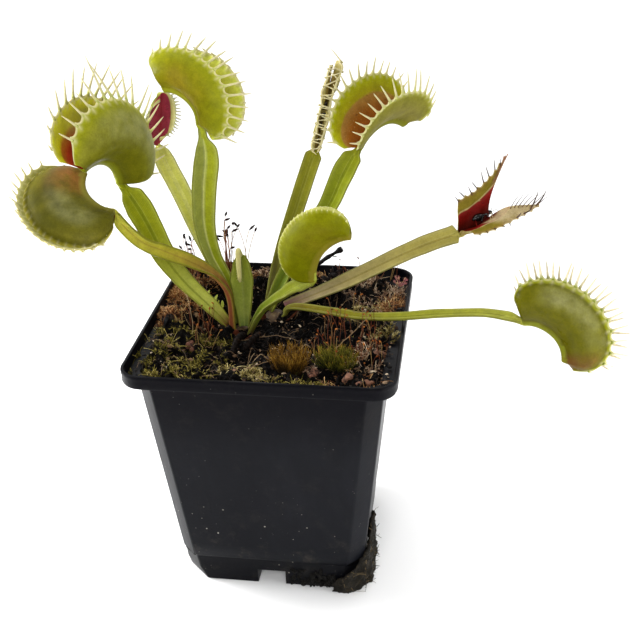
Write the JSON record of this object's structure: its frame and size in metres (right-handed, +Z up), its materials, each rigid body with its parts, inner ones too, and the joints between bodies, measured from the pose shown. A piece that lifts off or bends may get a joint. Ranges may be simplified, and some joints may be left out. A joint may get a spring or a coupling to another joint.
{
  "type": "potted venus flytrap",
  "caption": "Venus flytrap in a thin black square nursery pot, with long flat leaf stalks that end in toothed two-lobed traps, on dark peat with moss.",
  "frame": {"origin": "middle of the pot's flat underside", "axes": "+Z up, +Y towards the back of the pot, +X to the right as seen from the front"},
  "size_m": [0.1976, 0.1171, 0.1833],
  "materials": {
    "pot_plastic": "satin black, thin moulded",
    "peat": "damp peat, matt",
    "rhizome": "pale bulb scales",
    "mud": "dried mud and roots, matt",
    "twig": "charred bark, matt",
    "insect": "glossy black shell",
    "leaf_green": "satin green leaf",
    "leaf_olive": "satin olive leaf",
    "leaf_pale": "pale ageing leaf",
    "leaf_tan": "dry tan leaf",
    "moss": "matt moss"
  },
  "bodies": {
    "root": {"pot": "pot_plastic", "peat": "peat", "rhizome": "rhizome", "twig": "twig", "mud": "mud", "insect": "insect", "leaf_a": "leaf_olive", "leaf_b": "leaf_green", "leaf_c": "leaf_green", "leaf_d": "leaf_green", "leaf_e": "leaf_tan", "leaf_f": "leaf_green", "leaf_g": "leaf_green", "leaf_h": "leaf_pale", "leaf_i": "leaf_green", "leaf_young": "leaf_green", "moss_tuft_golden": "moss", "moss_tuft_green": "moss"}
  },
  "joints": []
}
